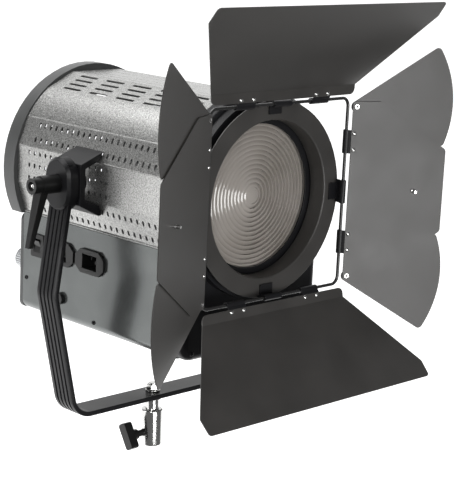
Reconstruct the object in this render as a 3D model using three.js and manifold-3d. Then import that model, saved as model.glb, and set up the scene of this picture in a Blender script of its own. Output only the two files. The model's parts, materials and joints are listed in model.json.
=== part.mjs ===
// LED fresnel spotlight in its yoke, with four barn doors.
// Millimetres. The origin is the centre of the stand receiver's mouth. +Z is up, the light faces -Y,
// and the tilt axis runs along X.

import * as THREE from "three";
import { mergeVertices } from "three/addons/utils/BufferGeometryUtils.js";
import Module from "manifold-3d";

const wasm = await Module();
wasm.setup();

// ---------------------------------------------------------------- driving dimensions

const AXIS_Z = 317; // optical axis above the receiver's mouth
const TILT_Z = 320; // tilt axis above the receiver's mouth
const BARN_Y = -180; // plane of the barn door wires, in front of the tilt axis
const GAP = 0.3; // space between pieces that touch

const SHELL_R = 111.5; // round part of the barrel, about a centre below the optical axis
const SHELL_CENTRE = -3.3;
const SHELL_FRONT = -135;
const SHELL_REAR = 120;
const SHEET = 1.5;

const BOX_HALF = 98; // driver box under the barrel
const BOX_TOP = -53.5;
const BOX_BOTTOM = -166;

const PANEL_FRONT = -152; // front panel of the driver box, under the nose
const PANEL_R = 113; // round top of the front panel
const NOSE_FRONT = -162;
const NOSE_R = 107;
const WELL_R = 86;
const LENS_R = 82;
const LENS_BACK = -137;
const LENS_FACE = -145.5;

const CAP_R = 113.5; // rear cap
const CAP_DEPTH = 24;
const REAR_PANEL = 5; // thickness of the panel under the rear cap
const DIMMER_X = -79;
const DIMMER_Z = -114;
const FOCUS_X = 0;
const FOCUS_Z = -108;
const FOCUS_SHAFT_R = 5.5;
const RAIL_X = 70;
const RAIL_Z = -60;
const RAIL_R = 4;
const CARRIAGE_R = 88;

const YOKE_WIDTH = 32;
const YOKE_THICK = 5.5;
const BAR_Z = -256; // centre of the yoke's cross bar, from the optical axis
const STUD_R = 4.7;
const ARM_X = 141.5; // centre of each arm's upper end
const CAP_INNER = 134.5; // arm caps, from the middle of the yoke
const CAP_OUTER = 148;
const STUD_END = 120; // inner end of the pivot studs

const WIRE_HALF = 102; // centre line of the square wire
const WIRE_R = 1.9;
const HINGE_BORE = 2.25;
const DOOR_SHEET = 1.2;
const DOOR_PLANE = -3.2; // middle of a door's sheet, in front of its wire
const CLIP_AT = 55; // hinge clips, from the middle of a door
const TOP_LEAN = 36.75; // degrees that each door leans out at rest
const BOTTOM_LEAN = 44.75;
const LEFT_LEAN = 23;
const RIGHT_LEAN = 25.4;
const EAR_AT = 93; // ear rivets, from the middle of a narrow door
const EAR_LIFT = 9;
const EAR_R = 114;

const RECEIVER_R = 12.6;
const RECEIVER_BORE = 8;
const LOCK_Z = 16; // lock screw above the receiver's mouth

// ---------------------------------------------------------------- looks

const LOOKS = {
  black: { color: 0x1b1b1c, roughness: 0.5, metalness: 0.0 },
  doors: { color: 0x3c3a38, roughness: 0.55, metalness: 0.1 },
  silver: { color: 0xa9aaa8, roughness: 0.45, metalness: 0.6 },
  grey: { color: 0x5d5f5f, roughness: 0.45, metalness: 0.2 },
  box: { color: 0x6a6d6c, roughness: 0.4, metalness: 0.2 },
  steel: { color: 0xc8c8c6, roughness: 0.2, metalness: 1.0 },
  aluminium: { color: 0xb4b6b8, roughness: 0.35, metalness: 1.0 },
  glass: { color: 0xcfcac2, roughness: 0.05, metalness: 0.0 },
  led: { color: 0xe3c04c, roughness: 0.5, metalness: 0.0 },
};

function addPart(group, name, geometry, look) {
  const mesh = new THREE.Mesh(geometry, new THREE.MeshStandardMaterial(LOOKS[look]));
  mesh.name = name;
  group.add(mesh);
}

// ---------------------------------------------------------------- geometry helpers

function toSolid(geometry) {
  const bare = geometry.clone();
  bare.deleteAttribute("normal");
  bare.deleteAttribute("uv");
  const merged = mergeVertices(bare, 1e-4);
  return new wasm.Manifold(
    new wasm.Mesh({
      numProp: 3,
      vertProperties: new Float32Array(merged.attributes.position.array),
      triVerts: new Uint32Array(merged.index.array),
    }),
  );
}

function toGeometry(solid) {
  const mesh = solid.getMesh();
  const geometry = new THREE.BufferGeometry();
  geometry.setAttribute("position", new THREE.BufferAttribute(mesh.vertProperties, 3));
  geometry.setIndex(new THREE.BufferAttribute(mesh.triVerts, 1));
  return geometry;
}

function join(...pieces) {
  return toGeometry(pieces.map(toSolid).reduce((whole, piece) => whole.add(piece)));
}

function cut(body, ...tools) {
  return toGeometry(tools.map(toSolid).reduce((left, tool) => left.subtract(tool), toSolid(body)));
}

// The smallest convex body round a list of [x, y, z] points.
function hull(points) {
  return toGeometry(wasm.Manifold.hull(points));
}

function block(x0, x1, y0, y1, z0, z1) {
  const geometry = new THREE.BoxGeometry(x1 - x0, y1 - y0, z1 - z0);
  return geometry.translate((x0 + x1) / 2, (y0 + y1) / 2, (z0 + z1) / 2);
}

// Round bars along each axis, from one end to the other.
function rodX(radius, x0, x1, y, z, sides = 32) {
  const geometry = new THREE.CylinderGeometry(radius, radius, x1 - x0, sides);
  return geometry.rotateZ(-Math.PI / 2).translate((x0 + x1) / 2, y, z);
}

function rodY(radius, y0, y1, x, z, sides = 32) {
  const geometry = new THREE.CylinderGeometry(radius, radius, y1 - y0, sides);
  return geometry.translate(x, (y0 + y1) / 2, z);
}

function rodZ(radius, z0, z1, x, y, sides = 32) {
  const geometry = new THREE.CylinderGeometry(radius, radius, z1 - z0, sides);
  return geometry.rotateX(Math.PI / 2).translate(x, y, (z0 + z1) / 2);
}

// An outline drawn in X and Z, made solid from y0 to y1.
function plateY(outline, y0, y1, segments = 12) {
  const geometry = new THREE.ExtrudeGeometry(outline, {
    depth: y1 - y0,
    bevelEnabled: false,
    curveSegments: segments,
  });
  return geometry.rotateX(Math.PI / 2).translate(0, y1, 0);
}

// An outline drawn in Y and Z, made solid from x0 to x1.
function plateX(outline, x0, x1, segments = 12) {
  const geometry = new THREE.ExtrudeGeometry(outline, {
    depth: x1 - x0,
    bevelEnabled: false,
    curveSegments: segments,
  });
  const turn = new THREE.Matrix4().makeBasis(
    new THREE.Vector3(0, 1, 0),
    new THREE.Vector3(0, 0, 1),
    new THREE.Vector3(1, 0, 0),
  );
  return geometry.applyMatrix4(turn).translate(x0, 0, 0);
}

// A ring or disc turned about the Y axis; the profile lists [radius, y].
function turnedY(profile, sides = 96) {
  const points = profile.map(([radius, y]) => new THREE.Vector2(radius, y));
  return new THREE.LatheGeometry(points, sides);
}

function turnedZ(profile, sides = 28) {
  return turnedY(profile, sides).rotateX(Math.PI / 2);
}

function polygon(points) {
  return new THREE.Shape(points.map(([a, b]) => new THREE.Vector2(a, b)));
}

function roundedRectangle(width, height, radius, cx = 0, cy = 0) {
  const shape = new THREE.Shape();
  const x = cx - width / 2;
  const y = cy - height / 2;
  shape.moveTo(x + radius, y);
  shape.lineTo(x + width - radius, y);
  shape.absarc(x + width - radius, y + radius, radius, -Math.PI / 2, 0);
  shape.lineTo(x + width, y + height - radius);
  shape.absarc(x + width - radius, y + height - radius, radius, 0, Math.PI / 2);
  shape.lineTo(x + radius, y + height);
  shape.absarc(x + radius, y + height - radius, radius, Math.PI / 2, Math.PI);
  shape.lineTo(x, y + radius);
  shape.absarc(x + radius, y + radius, radius, Math.PI, Math.PI * 1.5);
  return shape;
}

// A chain of points with its inner corners rounded to a radius.
function filleted(points, radius, steps = 6) {
  const chain = [new THREE.Vector2(...points[0])];
  for (let i = 1; i < points.length - 1; i++) {
    const corner = new THREE.Vector2(...points[i]);
    const back = new THREE.Vector2(...points[i - 1]).sub(corner).normalize();
    const ahead = new THREE.Vector2(...points[i + 1]).sub(corner).normalize();
    const half = Math.acos(THREE.MathUtils.clamp(back.dot(ahead), -1, 1)) / 2;
    const reach = radius / Math.tan(half);
    const from = corner.clone().addScaledVector(back, reach);
    const to = corner.clone().addScaledVector(ahead, reach);
    const middle = back.clone().add(ahead).normalize();
    const centre = corner.clone().addScaledVector(middle, radius / Math.sin(half));
    const start = from.clone().sub(centre);
    const end = to.clone().sub(centre);
    const sweep = Math.atan2(start.cross(end), start.dot(end));
    for (let k = 0; k <= steps; k++)
      chain.push(start.clone().rotateAround(new THREE.Vector2(), (sweep * k) / steps).add(centre));
  }
  chain.push(new THREE.Vector2(...points[points.length - 1]));
  return chain;
}

// The strip between two offsets of a chain, positive to the left of its direction.
function band(chain, low, high) {
  const offset = (distance) =>
    chain.map((point, i) => {
      const before = chain[Math.max(i - 1, 0)];
      const after = chain[Math.min(i + 1, chain.length - 1)];
      const into = point.clone().sub(before).normalize();
      const out = after.clone().sub(point).normalize();
      const along = into.add(out).normalize();
      const left = new THREE.Vector2(-along.y, along.x);
      const step = i > 0 && i < chain.length - 1 ? out.clone() : along.clone();
      const stretch = Math.abs(step.x * along.x + step.y * along.y);
      return point.clone().addScaledVector(left, distance / stretch);
    });
  return new THREE.Shape([...offset(low), ...offset(high).reverse()]);
}

// ---------------------------------------------------------------- receiver and yoke

const fixture = new THREE.Group();

function addReceiver() {
  const chamfer = 1;
  const barrelTop = 43;
  const boreEnd = 40;
  const flangeR = 10.5;
  const flangeLow = 55;
  const flangeHigh = 57.7;
  const spigotR = 5;
  const spigotTop = 74;
  const body = turnedZ([
    [RECEIVER_BORE, chamfer],
    [RECEIVER_BORE + chamfer, 0],
    [RECEIVER_R - chamfer, 0],
    [RECEIVER_R, chamfer],
    [RECEIVER_R, barrelTop - chamfer],
    [RECEIVER_R - chamfer, barrelTop],
    [RECEIVER_BORE, barrelTop],
    [RECEIVER_BORE, flangeLow],
    [flangeR, flangeLow],
    [flangeR, flangeHigh],
    [spigotR, flangeHigh],
    [spigotR, spigotTop],
    [0, spigotTop],
    [0, boreEnd],
    [RECEIVER_BORE, boreEnd],
    [RECEIVER_BORE, chamfer],
  ]);
  const lockHole = rodX(4, -RECEIVER_R - 1, 0, 0, LOCK_Z, 24);
  addPart(fixture, "stand_receiver", cut(body, lockHole), "steel");

  const hole = spigotR + GAP;
  const washerLow = 64.3;
  const washerHigh = 65.7;
  const washer = turnedZ([
    [hole, washerLow],
    [8.5, washerLow],
    [8.5, washerHigh],
    [hole, washerHigh],
    [hole, washerLow],
  ]);
  addPart(fixture, "receiver_washer", washer, "steel");

  const nutR = 8;
  const nutHeight = 6;
  const nutMiddle = washerHigh + GAP + nutHeight / 2;
  const hexagon = new THREE.CylinderGeometry(nutR, nutR, nutHeight, 6);
  hexagon.rotateX(Math.PI / 2).translate(0, 0, nutMiddle);
  addPart(fixture, "receiver_nut", cut(hexagon, rodZ(hole, 60, 80, 0, 0)), "steel");
}

// T-shaped lock screw that clamps the receiver on its spigot.
function addReceiverLock() {
  const handleFront = -39.5;
  const handleBack = -28.5;
  const collarBack = -23;
  const turn = THREE.MathUtils.degToRad(58);
  const stem = rodX(3.7, collarBack, -8.4, 0, LOCK_Z, 24);
  const collar = rodX(6, handleBack, collarBack, 0, LOCK_Z, 24);
  const handle = plateX(roundedRectangle(31, 11, 3.5), handleFront, handleBack, 8);
  handle.rotateX(turn).translate(0, 0, LOCK_Z);
  addPart(fixture, "receiver_t_knob", join(stem, collar, handle), "black");
}

function yokePath() {
  const bendRadius = 26;
  const side = [
    [ARM_X, 24],
    [ARM_X, -20],
    [156, -116],
    [124.1, BAR_Z],
  ];
  const mirrored = side.map(([x, z]) => [-x, z]).reverse();
  return filleted([...side, ...mirrored], bendRadius, 4);
}

function addYoke() {
  const path = yokePath();
  const half = YOKE_WIDTH / 2;
  const bar = plateY(band(path, -YOKE_THICK / 2, YOKE_THICK / 2), -half, half);
  const tools = [];
  const grooveWidth = 1.8;
  const grooveDepth = 1;
  for (const y of [-9.6, -3.2, 3.2, 9.6]) {
    const groove = band(path, -YOKE_THICK, -YOKE_THICK / 2 + grooveDepth);
    tools.push(plateY(groove, y - grooveWidth / 2, y + grooveWidth / 2));
  }
  const pivot = TILT_Z - AXIS_Z;
  tools.push(rodX(STUD_R + GAP, -160, 160, 0, pivot));
  tools.push(rodZ(5.3, BAR_Z - 10, BAR_Z + 10, 0, 0));
  addPart(fixture, "yoke", cut(bar, ...tools).translate(0, 0, AXIS_Z), "black");
}

// Stadium-shaped ring of points in a plane of constant x.
function stadium(x, width, height, steps = 10) {
  const radius = width / 2;
  const straight = (height - width) / 2;
  const points = [];
  for (let i = 0; i <= steps; i++) {
    const angle = (Math.PI * i) / steps;
    points.push([x, radius * Math.cos(angle), TILT_Z - 1 + straight + radius * Math.sin(angle)]);
    points.push([x, -radius * Math.cos(angle), TILT_Z - 1 - straight - radius * Math.sin(angle)]);
  }
  return points;
}

// Housings that hold the top of each yoke arm and carry the pivot studs.
function addArmCaps() {
  const width = 42;
  const height = 58;
  const chamfer = 3.2;
  for (const [name, side] of [["left_arm_cap", -1], ["right_arm_cap", 1]]) {
    const cap = hull([
      ...stadium(side * CAP_INNER, width, height),
      ...stadium(side * (CAP_OUTER - chamfer), width, height),
      ...stadium(side * CAP_OUTER, width - 2 * chamfer, height - 2 * chamfer),
    ]);
    const middle = side * ARM_X;
    const halfThick = YOKE_THICK / 2 + GAP;
    const halfWidth = YOKE_WIDTH / 2 + GAP;
    const armTop = AXIS_Z + 24 + GAP;
    const capBottom = AXIS_Z - 40;
    const pocket = block(middle - halfThick, middle + halfThick, -halfWidth, halfWidth, capBottom, armTop);
    const lean = 1.4; // the arm starts to splay inside the cap
    const leanLow = side < 0 ? lean : 0;
    const leanHigh = side < 0 ? 0 : lean;
    const bendRoom = block(middle - halfThick - leanLow, middle + halfThick + leanHigh,
      -halfWidth, halfWidth, capBottom, AXIS_Z - 15);
    const stud = rodX(STUD_R + GAP, -CAP_OUTER - 1, CAP_OUTER + 1, 0, TILT_Z);
    addPart(fixture, name, cut(cap, pocket, bendRoom, stud), "black");
  }
}

function addRightPivot() {
  const stud = rodX(STUD_R, STUD_END, CAP_OUTER + 1, 0, TILT_Z);
  const head = rodX(10, CAP_OUTER + GAP, CAP_OUTER + 6, 0, TILT_Z);
  addPart(fixture, "right_pivot_bolt", join(stud, head), "black");
}

// Clamping lever on the left pivot: a hub with a tapered arm that splays outwards as it hangs.
function addTiltLever() {
  const hubEnd = -181;
  const hub = join(
    rodX(10, -170, -CAP_OUTER - GAP, 0, TILT_Z),
    rodX(8.5, hubEnd, -169, 0, TILT_Z),
  );
  const armTop = TILT_Z - 3;
  const armBottom = TILT_Z - 66;
  const arm = hull([
    [-172, -6.5, armTop], [-172, 6.5, armTop], [-162, -6.5, armTop], [-162, 6.5, armTop],
    [-184, -1.5, armBottom], [-184, 4.5, armBottom], [-179, -2.5, armBottom], [-179, 5.5, armBottom],
  ]);
  const bore = rodX(STUD_R + GAP, -190, -140, 0, TILT_Z);
  addPart(fixture, "tilt_lever", cut(join(hub, arm), bore), "black");
  addPart(fixture, "tilt_lever_stud", rodX(STUD_R, hubEnd + 2, -STUD_END, 0, TILT_Z), "steel");
}

// ---------------------------------------------------------------- head

const head = new THREE.Group();
head.position.set(0, 0, AXIS_Z);
fixture.add(head);

// Corners of the barrel's right half, as [x, z] from the optical axis.
const SEAM_LOW = [96, -53];
const SIDE_LOW = [107.5, -18];
const SIDE_HIGH = [107.5, 24];
const ARC_START = [95, 55];
const ARC_END = [68, 85];
const TOP_EDGE = [33, 102];

function topCoverChain() {
  const right = [SIDE_HIGH, ARC_START];
  const from = Math.atan2(ARC_START[1] - SHELL_CENTRE, ARC_START[0]);
  const to = Math.atan2(ARC_END[1] - SHELL_CENTRE, ARC_END[0]);
  const steps = 5;
  for (let i = 1; i < steps; i++) {
    const angle = from + ((to - from) * i) / steps;
    right.push([SHELL_R * Math.cos(angle), SHELL_CENTRE + SHELL_R * Math.sin(angle)]);
  }
  right.push(ARC_END, TOP_EDGE);
  const left = right.map(([x, z]) => [-x, z]).reverse();
  return [...right, ...left].map(([x, z]) => new THREE.Vector2(x, z));
}

function louvreTools() {
  const groups = 5;
  const pitch = 45;
  const slotLength = 30;
  const slotHeight = 3.2;
  const tools = [];
  const slope = Math.atan2(ARC_END[1] - TOP_EDGE[1], ARC_END[0] - TOP_EDGE[0]);
  for (const side of [-1, 1])
    for (let group = 0; group < groups; group++)
      for (const along of [7, 16, 25, 34]) {
        const x = TOP_EDGE[0] + along * Math.cos(slope);
        const z = TOP_EDGE[1] + along * Math.sin(slope);
        const rear = 98 - group * pitch;
        const slot = new THREE.BoxGeometry(slotHeight, slotLength, 10);
        slot.rotateY(-side * slope).translate(side * x, rear - slotLength / 2, z);
        tools.push(slot);
      }
  return tools;
}

function addShell() {
  const seamGap = 0.4;
  const cover = plateY(band(topCoverChain(), 0, SHEET), SHELL_FRONT + GAP, SHELL_REAR - GAP);
  const trimmed = cut(cover, ...louvreTools());
  addPart(head, "top_cover", trimmed.translate(0, 0, seamGap), "silver");
  for (const [name, side] of [["left_side_panel", -1], ["right_side_panel", 1]]) {
    const chain = [SEAM_LOW, SIDE_LOW, SIDE_HIGH].map(([x, z]) => new THREE.Vector2(side * x, z));
    const offsets = side < 0 ? [-SHEET, 0] : [0, SHEET];
    const panel = plateY(band(chain, ...offsets), SHELL_FRONT + GAP, SHELL_REAR - GAP);
    addPart(head, name, panel.translate(0, 0, -seamGap), "silver");
  }
}

// Front casting: a round nose on a panel that closes the barrel and the driver box.
function addFrontCasting() {
  const footHalf = 98;
  const footBottom = -166;
  const corner = 8;
  const edge = 7; // rounding of the panel's front edges
  const outline = new THREE.Shape();
  const inner = PANEL_R - edge;
  const half = footHalf - edge;
  const bottom = footBottom + edge;
  const meet = -Math.sqrt(inner ** 2 - half ** 2);
  const start = Math.atan2(meet, half);
  outline.moveTo(half, meet);
  outline.absarc(0, 0, inner, start, Math.PI - start);
  outline.lineTo(-half, bottom + corner);
  outline.absarc(-half + corner, bottom + corner, corner, Math.PI, Math.PI * 1.5);
  outline.lineTo(half - corner, bottom);
  outline.absarc(half - corner, bottom + corner, corner, -Math.PI / 2, 0);
  const rounded = new THREE.ExtrudeGeometry(outline, {
    depth: 40,
    bevelSize: edge,
    bevelThickness: edge,
    bevelSegments: 3,
    curveSegments: 26,
  });
  rounded.rotateX(Math.PI / 2).translate(0, PANEL_FRONT + edge + 40, 0);
  const behind = block(-200, 200, SHELL_FRONT, 0, -200, 200);
  const nose = rodY(NOSE_R, NOSE_FRONT, SHELL_FRONT - 5, 0, 0, 60);
  const well = rodY(WELL_R, NOSE_FRONT - 8, -144, 0, 0, 60);
  const seat = rodY(LENS_R + 0.6, -150, -130, 0, 0, 60);
  const footRoom = block(-89, 89, PANEL_FRONT + 6, SHELL_FRONT + 5, -156, -96);
  const panel = cut(rounded, behind);
  addPart(head, "front_casting", cut(join(panel, nose), well, seat, footRoom), "black");
}

// Stepped lens, flat at the back.
function addLens() {
  const rings = 8;
  const crown = 20;
  const stepDepth = 2.5;
  const rim = LENS_FACE + 3;
  const span = LENS_R - 4 - crown;
  const profile = [[0, LENS_BACK], [0, LENS_FACE]];
  for (let i = 0; i < rings; i++) {
    const inner = (crown + span * Math.sqrt(i / rings)) * (i === 0 ? 0.35 : 1);
    const outer = crown + span * Math.sqrt((i + 1) / rings);
    profile.push([inner, LENS_FACE], [outer - 0.4, LENS_FACE + stepDepth]);
  }
  profile.push([LENS_R, rim], [LENS_R, LENS_BACK], [0, LENS_BACK]);
  addPart(head, "fresnel_lens", turnedY(profile, 40), "glass");
  const inside = 77;
  const outside = 85.5;
  const front = LENS_FACE - 2.9;
  const back = front + 1.5;
  const retainer = turnedY(
    [[inside, front], [outside, front], [outside, back], [inside, back], [inside, front]],
    48,
  );
  addPart(head, "lens_retainer", retainer, "black");
}

function addDriverBox() {
  const chain = filleted(
    [[BOX_HALF, BOX_TOP], [BOX_HALF, BOX_BOTTOM], [-BOX_HALF, BOX_BOTTOM], [-BOX_HALF, BOX_TOP]],
    10,
  );
  const wall = 2;
  const tray = plateY(band(chain, -wall, 0), SHELL_FRONT + GAP, SHELL_REAR - GAP);
  const inletHole = block(-110, -90, -22, 20, -99.5, -77.5);
  const outletHole = block(-110, -90, 30, 72, -99.5, -77.5);
  const rockerHole = block(-110, -90, 84, 100, -98, -78);
  const fuseHole = rodX(5.5, -110, -90, 50, -140);
  addPart(head, "driver_box", cut(tray, inletHole, outletHole, rockerHole, fuseHole), "box");
}

// Mains connectors: an eight-sided flange, a deep cup behind it and contacts inside.
function connector(y, z, contacts) {
  const flange = polygon([
    [-24, -6], [-15, -13.5], [15, -13.5], [24, -6], [24, 6], [15, 13.5], [-15, 13.5], [-24, 6],
  ]);
  const face = -BOX_HALF - GAP;
  const front = plateX(flange, face - 3, face);
  const cup = block(face - 1, face + 24, -17, 17, -10.5, 10.5);
  const cavity = block(face - 5, face + 18, -12, 12, -8, 8);
  const body = cut(join(front, cup), cavity);
  return join(body, ...contacts(face)).translate(0, y, z);
}

function addConnectors() {
  const pins = (face) =>
    [[-7, 2], [0, -2], [7, 2]].map(([y, z]) => block(face + 6, face + 19, y - 1, y + 1, z - 2, z + 2));
  const faceBlock = (face) => [
    cut(
      block(face + 5, face + 19, -10, 10, -6, 6),
      ...[[-6, 1.5], [0, -1.5], [6, 1.5]].map(([y, z]) =>
        block(face, face + 14, y - 1, y + 1, z - 2.2, z + 2.2),
      ),
    ),
  ];
  addPart(head, "power_inlet", connector(-1, -88.5, pins), "black");
  addPart(head, "power_outlet", connector(51, -88.5, faceBlock), "black");
  const cap = join(
    rodX(6.8, -102.5, -98 - GAP, 50, -140),
    rodX(5.2, -98.5, -72, 50, -140),
  );
  addPart(head, "fuse_holder", cap, "black");
}

function addRocker() {
  const outer = roundedRectangle(22, 26, 2, 92, -88);
  const flange = plateX(outer, -100.3, -98 - GAP, 4);
  const sleeve = block(-99, -82, 84.4, 99.6, -97.6, -78.4);
  const hole = block(-110, -84, 86, 98, -96, -80);
  addPart(head, "rocker_bezel", cut(join(flange, sleeve), hole), "black");
  const pivotX = -95;
  const rocker = plateY(
    polygon([[-6.5, 7.2], [-4.2, 0], [-6.5, -7.2], [3, -6], [3, 6]]),
    -5.6,
    5.6,
  );
  const tilt = THREE.MathUtils.degToRad(-7);
  addPart(head, "power_rocker", rocker.rotateY(tilt).translate(pivotX, 92, -88), "black");
}

// Rear cap: a shallow round pan, flat where it meets the box, with vent slots in its face.
function addRearCap() {
  const edge = 6;
  const wall = 8;
  const back = SHELL_REAR + CAP_DEPTH;
  const pan = turnedY(
    [
      [0, 0],
      [CAP_R, 0],
      [CAP_R, CAP_DEPTH - edge],
      [CAP_R - 2, CAP_DEPTH - 2],
      [CAP_R - edge, CAP_DEPTH],
      [0, CAP_DEPTH],
    ],
    60,
  ).translate(0, SHELL_REAR, SHELL_CENTRE);
  const room = rodY(CAP_R - wall, SHELL_REAR - 1, back - 3, 0, SHELL_CENTRE, 48);
  const below = block(-130, 130, SHELL_REAR - 2, back + 2, -130, -55);
  const floor = block(-130, 130, SHELL_REAR - 3, back - 3.5, -56, -51);
  const roomAboveFloor = cut(room, floor);
  const slots = [];
  for (let z = -32; z <= 68; z += 10) {
    const half = Math.sqrt(76 ** 2 - (z - 18) ** 2);
    slots.push(block(-half, -3, SHELL_REAR, back + 2, z - 2, z + 2));
    slots.push(block(3, half, SHELL_REAR, back + 2, z - 2, z + 2));
  }
  addPart(head, "rear_cap", cut(pan, roomAboveFloor, below, ...slots), "grey");
}

function addRearPanel() {
  const chain = filleted([[-1, -55.5], [98, -55.5], [98, -166], [-1, -166]], 8);
  const half = chain.slice(1, -1);
  const outline = new THREE.Shape([
    ...half,
    ...half.map((p) => new THREE.Vector2(-p.x, p.y)).reverse(),
  ]);
  const plate = plateY(outline, SHELL_REAR, SHELL_REAR + REAR_PANEL);
  const dimmerHole = rodY(4, 100, 140, DIMMER_X, DIMMER_Z, 24);
  const focusHole = rodY(FOCUS_SHAFT_R + 0.5, 100, 140, FOCUS_X, FOCUS_Z, 24);
  addPart(head, "rear_panel", cut(plate, dimmerHole, focusHole), "grey");
}

function knurledKnob(radius, y0, y1, x, z, ridges) {
  const outline = new THREE.Shape();
  for (let i = 0; i < ridges * 2; i++) {
    const angle = (i * Math.PI) / ridges;
    const r = radius - (i % 2) * 0.8;
    const point = new THREE.Vector2(r * Math.cos(angle), r * Math.sin(angle));
    if (i === 0) outline.moveTo(point.x, point.y);
    else outline.lineTo(point.x, point.y);
  }
  outline.closePath();
  return plateY(outline, y0, y1).translate(x, 0, z);
}

function addKnobs() {
  const face = SHELL_REAR + REAR_PANEL + GAP;
  const dimmer = join(
    knurledKnob(12.5, face + 1, face + 19, DIMMER_X, DIMMER_Z, 30),
    rodY(3.5, 108, face + 2, DIMMER_X, DIMMER_Z, 24),
  );
  addPart(head, "dimmer_knob", dimmer, "aluminium");
  const focus = join(
    knurledKnob(22, face + 1, face + 22, FOCUS_X, FOCUS_Z, 36),
    rodY(FOCUS_SHAFT_R, -128, face + 2, FOCUS_X, FOCUS_Z, 24),
  );
  addPart(head, "focus_knob", focus, "black");
}

// U-shaped brackets, open to the barrel, that the pivot studs screw into.
function addTiltBrackets() {
  const pivot = TILT_Z - AXIS_Z;
  for (const [name, side] of [["left_tilt_bracket", -1], ["right_tilt_bracket", 1]]) {
    const outline = polygon([
      [103.9, 36.8],
      [134, 25],
      [134, -19],
      [107.5, -32.5],
      [103.7, -31.7],
      [107, -21.5],
      [127, -14],
      [127, 20],
      [106.8, 28],
    ].map(([x, z]) => [side * x, z]));
    const channel = plateY(outline, -23, 22);
    const boss = side < 0 ? rodX(12, -128, -116, 0, pivot) : rodX(12, 116, 128, 0, pivot);
    const bore = rodX(STUD_R + GAP, -150, 150, 0, pivot);
    addPart(head, name, cut(join(channel, boss), bore), "black");
  }
}

// Guide rails, supply and the carriage that moves the light source for spot and flood.
function addInside() {
  for (const [name, x] of [["left_rail", -RAIL_X], ["right_rail", RAIL_X]])
    addPart(head, name, rodY(RAIL_R, SHELL_FRONT + 1, SHELL_REAR - 1, x, RAIL_Z, 20), "steel");
  addPart(head, "driver_supply", block(-60, 60, -60, 90, -163, -128), "aluminium");

  const plateFront = -10;
  const plateBack = -6;
  const plate = rodY(CARRIAGE_R, plateFront, plateBack, 0, 0, 40);
  const nutTab = block(-12, 12, plateFront, plateBack, -122, -80);
  const railHoles = [-RAIL_X, RAIL_X].map((x) => rodY(RAIL_R + GAP, -20, 10, x, RAIL_Z, 20));
  const screwHole = rodY(FOCUS_SHAFT_R + GAP, -20, 10, FOCUS_X, FOCUS_Z, 24);
  addPart(head, "carriage_plate", cut(join(plate, nutTab), ...railHoles, screwHole), "aluminium");

  const sinkHalf = 45;
  const sinkFront = plateBack + GAP;
  const finStart = 1;
  const finEnd = 28;
  const finHalf = 0.8;
  const fins = [block(-sinkHalf, sinkHalf, sinkFront, finStart + 1, -sinkHalf, sinkHalf)];
  for (let x = -43; x <= 43; x += 8.6)
    fins.push(block(x - finHalf, x + finHalf, finStart, finEnd, -sinkHalf, sinkHalf));
  addPart(head, "heat_sink", join(...fins), "aluminium");

  const chipBack = plateFront - GAP;
  const chipFront = chipBack - 2.2;
  const board = block(-19, 19, chipFront, chipBack, -19, 19);
  const phosphor = rodY(14, chipFront - 1, chipFront + 0.5, 0, 0, 32);
  addPart(head, "led_module", join(board, phosphor), "led");
}

// ---------------------------------------------------------------- barn doors

const barn = new THREE.Group();
barn.position.set(0, BARN_Y, 0);
head.add(barn);

function addBarnRing() {
  const ring = turnedY([
    [83.2, 30],
    [83.2, 13],
    [84, 10.8],
    [86, 10],
    [104.6, 10],
    [104.6, 11.6],
    [86.2, 11.6],
    [85.2, 13],
    [85.2, 30],
    [83.2, 30],
  ], 60);
  addPart(barn, "barn_ring", ring, "doors");
}

// Square wire: four straight bars and four bent corners that run a little way into them.
function wireCorner(angle) {
  const corner = 9;
  const past = 1.5;
  const turn = WIRE_HALF - corner;
  const pull = corner * 0.5523;
  const at = (x, z) => new THREE.Vector3(x, 0, z);
  const path = new THREE.CurvePath();
  path.add(new THREE.LineCurve3(at(turn - past, WIRE_HALF), at(turn, WIRE_HALF)));
  path.add(
    new THREE.CubicBezierCurve3(
      at(turn, WIRE_HALF),
      at(turn + pull, WIRE_HALF),
      at(WIRE_HALF, turn + pull),
      at(WIRE_HALF, turn),
    ),
  );
  path.add(new THREE.LineCurve3(at(WIRE_HALF, turn), at(WIRE_HALF, turn - past)));
  const section = new THREE.Shape();
  section.absarc(0, 0, WIRE_R, 0, Math.PI * 2);
  const bend = new THREE.ExtrudeGeometry(section, { steps: 9, curveSegments: 5, extrudePath: path });
  return bend.rotateY(angle);
}

function addWireFrame() {
  const straight = WIRE_HALF - 9.5;
  const pieces = [];
  for (let side = 0; side < 4; side++) {
    const angle = (side * Math.PI) / 2;
    pieces.push(rodX(WIRE_R - 0.02, -straight, straight, 0, WIRE_HALF, 10).rotateY(angle));
    pieces.push(wireCorner(angle));
  }
  addPart(barn, "wire_frame", join(...pieces), "black");
}

// Straps join the wire to the ring: a foot on the ring, an upright and a curl round the wire.
function addStraps() {
  const foot = block(-9, 9, 8.3, 9.7, 90, 102.6);
  const upright = block(-12.5, 12.5, 3, 9.7, 101.2, 102.8);
  const curl = cut(rodX(3.5, -12.5, 12.5, 0, WIRE_HALF, 12), rodX(HINGE_BORE, -14, 14, 0, WIRE_HALF, 12));
  const uprightClear = cut(upright, rodX(HINGE_BORE, -14, 14, 0, WIRE_HALF, 12));
  const sides = { top: 0, right: 90, bottom: 180, left: 270 };
  for (const [name, angle] of Object.entries(sides)) {
    const strap = join(foot, uprightClear, curl);
    strap.rotateY(THREE.MathUtils.degToRad(angle));
    addPart(barn, `strap_${name}`, strap, "black");
  }
}

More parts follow.
